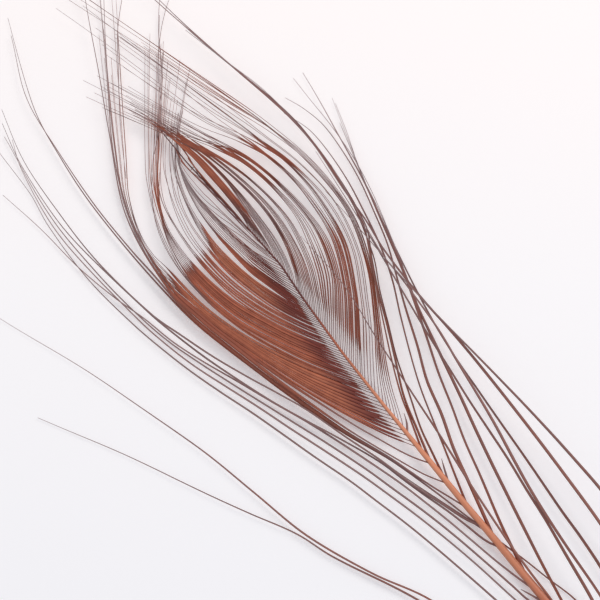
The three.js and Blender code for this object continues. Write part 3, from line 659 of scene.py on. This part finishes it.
def blade_widths(vane, centres, beside, full, turned):
    """Widths of a blade that fills its space where it lies flat, and is narrow where it stands on edge."""
    widths = []
    last = len(centres) - 1
    for i, offset in enumerate(beside):
        ahead = (centres[min(i + 1, last)] - centres[max(i - 1, 0)]).normalized()
        space = abs(ahead.x * offset.y - ahead.y * offset.x)
        filled = min(max(vane["filling"] * space, NARROWEST), WIDEST, full[i])
        _, edge_share = row_at(vane["edge_width"], i / last)
        on_edge = edge_share * full[i]
        widths.append(on_edge + (filled - on_edge) * turned[i])
    return widths


def turn_and_colour(vane, flats, root, pace, share):
    """How flat a barb lies at a share of its length, its finish there, and how maroon it is."""
    flat = 0
    maroon_and_shade = ROOT_MAROON * (1 - smooth(0, ROOT_SHARE, share))
    _, finish = row_at(vane["edge_finish"], share)
    for start, stop, flat_finish, flatness in flats:
        if vane["bare_root"]:
            start = max(start, vane["bare_root"] / pace)
        beside_shaft = start < ROOT_SHARE
        turning = vane["turning"] if beside_shaft else TURNING_AGAIN
        ended = smooth(stop, stop + vane["turning_back"], share)
        begun = smooth(start, start + turning / pace, share) - ended
        flat += flatness * begun
        finish += (flat_finish - finish) * begun
        if beside_shaft:
            from_turn = (share - start) * pace - turning
            faded = smooth(MAROON_START, MAROON_LENGTH, from_turn)
            # The maroon beside the shaft is partly the barbs' own colour and partly painted shade
            maroon_and_shade += (vane["maroon_and_shade"] * smooth(*MAROON_ROOTS, root) * (1 - faded) - maroon_and_shade) * begun
    return flat, finish, maroon_and_shade


def vane_barb(mesh, vane, clump, k, rng):
    """Barb number k of a clump of a vane."""
    low, high, count, stations, flats, ends = clump
    stations = [[0, low, high]] + stations
    side = vane["side"]
    across = (k + 0.5 + rng.uniform(-PLACE_SPREAD, PLACE_SPREAD)) / count
    drift = rng.uniform(-DRIFT, DRIFT) / count
    splay = rng.uniform(-SPLAY, SPLAY)
    aside = Vector((-SPLAY_SLANT * side, 1)) * rng.uniform(-SPLAY_WIDTH, SPLAY_WIDTH)
    end = rng.uniform(*ends)
    tone = rng.random()
    lift = rng.uniform(-LIFT, LIFT)
    phase = rng.uniform(0, 2 * math.pi)
    shift = rng.uniform(-TURN_SHIFT, TURN_SHIFT)
    tilt = math.radians(vane["tilt"] + rng.uniform(-TILT_SPREAD, TILT_SPREAD))
    flats = [[start + shift, stop + shift, *rest] for start, stop, *rest in flats]

    root = low + (high - low) * across
    _, tip_height = row_at(vane["tip_heights"], root)
    _, fineness = row_at(FINER_TOWARDS_TIP, root)
    _, shaft_y, _, half_width = row_at(SHAFT, root)
    at_root = [root, shaft_y + side * ROOT_DEPTH * half_width]
    _, guide = row_at(vane["guides"], root)
    # Millimetres along the barb, beside the shaft, for each share of its length
    pace = (Vector(guide[0]) - Vector(at_root)).length * len(guide)

    centres, beside, full, thickness, turned, finishes, maroons_and_shade = [], [], [], [], [], [], []
    for i in range(STEPS_ALONG + 1):
        share = end * i / STEPS_ALONG
        spread = vane["spread"] * (across - 0.5) * smooth(0, SPREAD_SHARE, share) / (count - 1)
        sway = math.sin(2 * math.pi * share + phase)
        wander = across + spread + drift * smooth(DRIFT_FROM, DRIFT_TO, share) * sway
        place = place_in_clump(stations, wander, share) + splay * smooth(SPLAY_START, SPLAY_END, share)
        _, guide = row_at(vane["guides"], place)
        own_point = spline_point([at_root] + guide, share)
        flat_point = own_point + aside * smooth(SPLAY_START, SPLAY_END, share)
        wave = WAVE * share * math.sin(2 * math.pi * WAVES * share + phase)
        height = height_along(root, share, tip_height, vane["arch"]) + lift * smooth(0, LIFT_SHARE, share)
        centres.append(raised(flat_point.x, flat_point.y + wave, height))
        _, guide = row_at(vane["guides"], place_in_clump(stations, wander + 1 / count, share))
        beside.append(spline_point([at_root] + guide, share) - own_point)
        _, width = row_at(BLADE_WIDTH, share / end)
        full.append(width * fineness)
        _, thick = row_at(BLADE_THICKNESS, share / end)
        thickness.append(thick)
        flat, finish, maroon_and_shade = turn_and_colour(vane, flats, root, pace, share)
        turned.append(flat)
        finishes.append(finish)
        maroons_and_shade.append(maroon_and_shade)
    widths = blade_widths(vane, centres, beside, full, turned)
    mesh.add_blade(centres, widths, thickness, turned, tilt, finishes, maroons_and_shade, tone)


def vane_barbs(mesh, vane):
    """Every barb of one vane round the eye."""
    rng = random.Random(vane["seed"])
    for clump in vane["clumps"]:
        count = clump[2]
        for k in range(count):
            vane_barb(mesh, vane, clump, k, rng)


def single_barbs(mesh, table, width_table, finish_table, tilt, seed):
    """Barbs that lie on their own, each along its own path."""
    rng = random.Random(seed)
    for arch, tip_height, points in table:
        root = points[0][0]
        path = Path(points)
        phase = rng.uniform(0, 2 * math.pi)
        centres, widths, turned, finishes, maroons_and_shade = [], [], [], [], []
        for i in range(STEPS_LONG + 1):
            share = i / STEPS_LONG
            flat_point = path.point(share)
            sway = math.sin(2 * math.pi * SINGLE_WAVES * share + phase)
            wave = SINGLE_WAVE * path.places[-1] * sway * share
            height = max(height_along(root, share, tip_height, arch), LOWEST_MIDDLE)
            centres.append(raised(flat_point.x, flat_point.y + wave, height))
            _, width = row_at(width_table, share)
            widths.append(width)
            _, finish = row_at(finish_table, share)
            finishes.append(finish)
            maroons_and_shade.append(ROOT_MAROON * (1 - smooth(0, ROOT_SHARE, share)))
            turned.append(SINGLE_FLAT + SINGLE_TWIST * math.sin(phase + SINGLE_TWIST_RATE * share))
        barb_tilt = math.radians(tilt + rng.uniform(-TILT_SPREAD, TILT_SPREAD))
        thickness = [SINGLE_THICKNESS * width for width in widths]
        mesh.add_blade(centres, widths, thickness, turned, barb_tilt, finishes, maroons_and_shade, rng.random())


# Camera, looking down along the feather from above its front end.
# The distance and the width of the frame are in millimetres.
CAMERA_AZIMUTH = math.radians(55)
CAMERA_ELEVATION = math.radians(65)
CAMERA_DISTANCE = 300
FRAME_WIDTH = 84
SENSOR = 36


def towards(azimuth, elevation):
    """The direction from the feather to a place at this azimuth and elevation."""
    return Vector((
        math.sin(azimuth) * math.cos(elevation),
        -math.cos(azimuth) * math.cos(elevation),
        math.sin(elevation),
    ))


def make_camera():
    """The camera, whose picture shows the eye and the shaft below it corner to corner."""
    data = bpy.data.cameras.new("camera")
    data.sensor_width = SENSOR
    data.lens = SENSOR * CAMERA_DISTANCE / FRAME_WIDTH
    data.clip_start = 0.01
    data.clip_end = 20
    camera = bpy.data.objects.new("camera", data)
    away = towards(CAMERA_AZIMUTH, CAMERA_ELEVATION)
    target = Vector((-MIDDLE[0], -MIDDLE[1], 0))
    camera.location = (target + away * CAMERA_DISTANCE) * MM
    camera.rotation_euler = away.to_track_quat("Z", "Y").to_euler()
    bpy.context.scene.collection.objects.link(camera)
    bpy.context.scene.camera = camera


def new_material(name):
    """A material of this name, and its empty node tree."""
    material = bpy.data.materials.new(name)
    material.use_nodes = True
    material.node_tree.nodes.clear()
    return material, material.node_tree


def barb_keratin():
    """Keratin of the bare barbs, scraped of its fringe: satin, and mauve-grey where a barb stands on edge
    and in its thin tip, rust where it lies flat, and maroon beside the shaft, partly its own and partly
    painted shade;
    each blade has painted shade at its sides and painted light along its middle."""
    material, tree = new_material("scraped_barb_keratin")
    finish = add_node(tree, "ShaderNodeAttribute", {"attribute_name": "finish"})
    maroon_and_shade = add_node(tree, "ShaderNodeAttribute", {"attribute_name": "maroon_and_shade"})
    tone = add_node(tree, "ShaderNodeAttribute", {"attribute_name": "tone"})
    texture = add_node(tree, "ShaderNodeTexCoord")
    # Mottling about 1.5 mm long, which moves the finish and the brightness
    mottle = add_node(tree, "ShaderNodeTexNoise", {"Scale": 1 / (1.5 * MM), "Detail": 3, "Roughness": 0.6},
                      {"Vector": texture.outputs["Object"]})
    moved = add_node(tree, "ShaderNodeMath", {"operation": "MULTIPLY_ADD", 1: 0.16, 2: -0.08},
                     {0: mottle.outputs["Fac"]})
    place = add_node(tree, "ShaderNodeMath", {"operation": "ADD"},
                     {0: finish.outputs["Fac"], 1: moved.outputs[0]})
    ramp = add_ramp(tree, place.outputs[0], [
        (0, "#B6A8A8"),
        (0.2, "#A68C8A"),
        (0.38, "#94706C"),
        (0.6, "#985844"),
        (0.75, "#A8583E"),
        (1, "#D4825E"),
    ])
    # Maroon mixed in beside the shaft and at the sides of flat blades: partly the barbs' own maroon, partly
    # painted shade
    # Sockets 6, 7 and 2 are the two colours and the result of a colour mix
    maroon_and_painted_shade = add_node(tree, "ShaderNodeMix", {"data_type": "RGBA", 7: linear("#702A20")},
                    {0: maroon_and_shade.outputs["Fac"], 6: ramp.outputs["Color"]})
    # Each barb has a brightness of its own
    shade = add_node(tree, "ShaderNodeMath", {"operation": "MULTIPLY_ADD", 1: 0.3, 2: 0.65},
                     {0: tone.outputs["Fac"]})
    value = add_node(tree, "ShaderNodeMath", {"operation": "MULTIPLY_ADD", 1: 0.4},
                     {0: mottle.outputs["Fac"], 2: shade.outputs[0]})
    colour = add_node(tree, "ShaderNodeHueSaturation",
                      links={"Color": maroon_and_painted_shade.outputs[2], "Value": value.outputs[0]})
    shader = add_node(tree, "ShaderNodeBsdfPrincipled", {"Roughness": 0.5, "IOR": 1.5},
                      {"Base Color": colour.outputs["Color"]})
    add_node(tree, "ShaderNodeOutputMaterial", links={"Surface": shader.outputs["BSDF"]})
    return material


def shaft_keratin():
    """Keratin of the shaft: smooth satin horn with fine streaks along it, dark maroon inside the eye and
    orange-brown towards the cut end, with painted shade down its sides."""
    material, tree = new_material("satin_shaft_keratin")
    texture = add_node(tree, "ShaderNodeTexCoord")
    apart = add_node(tree, "ShaderNodeSeparateXYZ", links={"Vector": texture.outputs["Object"]})
    # The colour changes between 0 and 60 mm of the plan
    along = add_node(tree, "ShaderNodeMapRange",
                     {"From Min": (0 - MIDDLE[0]) * MM, "From Max": (60 - MIDDLE[0]) * MM},
                     {"Value": apart.outputs["X"]})
    ground = add_ramp(tree, along.outputs["Result"], [
        (0, "#6C3630"),
        (0.14, "#B8664A"),
        (0.35, "#EE9C76"),
        (0.8, "#DC8A66"),
        (1, "#C06C50"),
    ])
    # Streaks about 0.25 mm apart and 4 mm long
    stretch = add_node(tree, "ShaderNodeMapping", {"Scale": (0.06, 1, 1)},
                       {"Vector": texture.outputs["Object"]})
    streak = add_node(tree, "ShaderNodeTexNoise", {"Scale": 1 / (0.25 * MM), "Detail": 2},
                      {"Vector": stretch.outputs["Vector"]})
    # Painted shade: the sides of the shaft are darker than its back, which faces up to the light
    facing = add_node(tree, "ShaderNodeSeparateXYZ", links={"Vector": texture.outputs["Normal"]})
    painted_side_shade = add_node(tree, "ShaderNodeMapRange",
                    {"From Min": 0.1, "From Max": 0.8, "To Min": 0.55, "To Max": 0.85},
                    {"Value": facing.outputs["Z"]})
    value = add_node(tree, "ShaderNodeMath", {"operation": "MULTIPLY_ADD", 1: 0.4},
                     {0: streak.outputs["Fac"], 2: painted_side_shade.outputs["Result"]})
    colour = add_node(tree, "ShaderNodeHueSaturation",
                      links={"Color": ground.outputs["Color"], "Value": value.outputs[0]})
    shader = add_node(tree, "ShaderNodeBsdfPrincipled", {"Roughness": 0.36, "IOR": 1.54},
                      {"Base Color": colour.outputs["Color"]})
    add_node(tree, "ShaderNodeOutputMaterial", links={"Surface": shader.outputs["BSDF"]})
    return material


def make_shaft(material):
    """The shaft as a smooth tapering tube, flat beneath."""
    count = len(SHAFT_SECTION)
    thick_end, tip = SHAFT[0][0], SHAFT[-1][0]
    points, faces = [], []
    for i in range(SHAFT_RINGS + 1):
        x = thick_end + (tip - thick_end) * i / SHAFT_RINGS
        _, y, low, half = row_at(SHAFT, x)
        middle = raised(x, y, low + SHAFT_MIDDLE * half)
        for across, up in SHAFT_SECTION:
            points.append(Vector((middle.x, middle.y + across * half, low + up * half)) * MM)
    for i in range(SHAFT_RINGS):
        for k in range(count):
            a = i * count + k
            b = i * count + (k + 1) % count
            faces.append((a, b, b + count, a + count))
    faces.append(tuple(reversed(range(count))))
    faces.append(tuple(SHAFT_RINGS * count + k for k in range(count)))
    mesh = bpy.data.meshes.new("shaft")
    mesh.from_pydata(points, [], faces)
    mesh.materials.append(material)
    for polygon in mesh.polygons:
        polygon.use_smooth = len(polygon.vertices) == 4
    piece = bpy.data.objects.new("shaft", mesh)
    bpy.context.scene.collection.objects.link(piece)
    return piece


# Half of the floor's side, and how far it lies below the feather so that the two faces stay apart, in metres
FLOOR_REACH = 3
FLOOR_DROP = 0.0002


def make_floor():
    """A matt white floor that glows faintly: painted light that lifts the shade on it."""
    material, tree = new_material("matt_white_floor_with_painted_light")
    # Painted light falloff: the white is a little brighter and warmer behind the tip and darker and cooler
    # in front of the cut end, over about 120 mm
    texture = add_node(tree, "ShaderNodeTexCoord")
    across = add_node(tree, "ShaderNodeVectorMath", {"operation": "DOT_PRODUCT", 1: (-0.82, 0.57, 0)},
                      {0: texture.outputs["Object"]})
    place = add_node(tree, "ShaderNodeMapRange", {"From Min": -30 * MM, "From Max": 90 * MM},
                     {"Value": across.outputs["Value"]})
    white_with_painted_falloff = add_ramp(tree, place.outputs["Result"], [(0, "#EFEFF2"), (0.5, "#F6F4F5"), (1, "#FEF7F5")])
    # Its faint glow is painted light, with the same painted falloff as the white
    shader = add_node(tree, "ShaderNodeBsdfPrincipled", {"Roughness": 0.8, "Emission Strength": 0.26},
                      {"Base Color": white_with_painted_falloff.outputs["Color"], "Emission Color": white_with_painted_falloff.outputs["Color"]})
    add_node(tree, "ShaderNodeOutputMaterial", links={"Surface": shader.outputs["BSDF"]})
    corners = [(x * FLOOR_REACH, y * FLOOR_REACH, 0) for x, y in ((-1, -1), (1, -1), (1, 1), (-1, 1))]
    mesh = bpy.data.meshes.new("floor")
    mesh.from_pydata(corners, [], [(0, 1, 2, 3)])
    mesh.materials.append(material)
    floor = bpy.data.objects.new("floor", mesh)
    floor.location.z = -FLOOR_DROP
    bpy.context.scene.collection.objects.link(floor)


def make_light(name, azimuth, elevation, distance, size, power, colour):
    """A round softbox that points at the feather. Its angles are in degrees, its distance and size in metres
    and its power in watts."""
    data = bpy.data.lights.new(name, "AREA")
    data.shape = "DISK"
    data.size = size
    data.energy = power
    data.color = linear(colour)[:3]
    light = bpy.data.objects.new(name, data)
    direction = towards(math.radians(azimuth), math.radians(elevation))
    light.location = direction * distance
    light.rotation_euler = direction.to_track_quat("Z", "Y").to_euler()
    bpy.context.scene.collection.objects.link(light)


def make_world():
    """The even pale light of a studio all round."""
    world = bpy.data.worlds.new("studio")
    bpy.context.scene.world = world
    world.use_nodes = True
    background = world.node_tree.nodes["Background"]
    background.inputs["Color"].default_value = linear("#F2F5FB")
    background.inputs["Strength"].default_value = 0.57


make_camera()

shaft = make_shaft(shaft_keratin())

right_vane = BarbMesh("right_eye_barbs")
vane_barbs(right_vane, RIGHT_VANE)
left_vane = BarbMesh("left_eye_barbs")
vane_barbs(left_vane, LEFT_VANE)

right_tilt = RIGHT_VANE["tilt"]
long_right = BarbMesh("long_right_barbs")
single_barbs(long_right, FINE_RIGHT, FINE_WIDTH_RIGHT, LONG_FINISH, right_tilt, seed=29)
single_barbs(long_right, LONG_RIGHT, LONG_WIDTH_RIGHT, LONG_FINISH, right_tilt, seed=21)
single_barbs(long_right, RIGHT_STUBS, STUB_WIDTH, STUB_FINISH, right_tilt, seed=24)
single_barbs(long_right, RIGHT_HAIRS, HAIR_WIDTH, HAIR_FINISH, right_tilt, seed=25)

left_tilt = LEFT_VANE["tilt"]
long_left = BarbMesh("long_left_barbs")
single_barbs(long_left, BUNDLE_LEFT, BUNDLE_WIDTH, BUNDLE_FINISH, left_tilt, seed=28)
single_barbs(long_left, LONG_LEFT, LONG_WIDTH_LEFT, LEFT_FINISH, left_tilt, seed=22)
single_barbs(long_left, LEFT_STUBS, STUB_WIDTH, STUB_FINISH, left_tilt, seed=26)
single_barbs(long_left, LEFT_HAIRS, HAIR_WIDTH, HAIR_FINISH, left_tilt, seed=27)
strays = BarbMesh("stray_barbs")
single_barbs(strays, STRAY_LEFT, LONG_WIDTH_LEFT, LONG_FINISH, left_tilt, seed=23)

barb_finish = barb_keratin()
barb_pieces = [group.build(barb_finish) for group in (right_vane, left_vane, long_right, long_left, strays)]
for piece in [shaft] + barb_pieces:
    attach(piece, "root")
    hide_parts("stripped_feather")

make_floor()
make_world()
make_light("softbox", azimuth=170, elevation=52, distance=1.2, size=0.8, power=5.2, colour="#FFF6F0")
bpy.context.scene.view_settings.view_transform = "Standard"
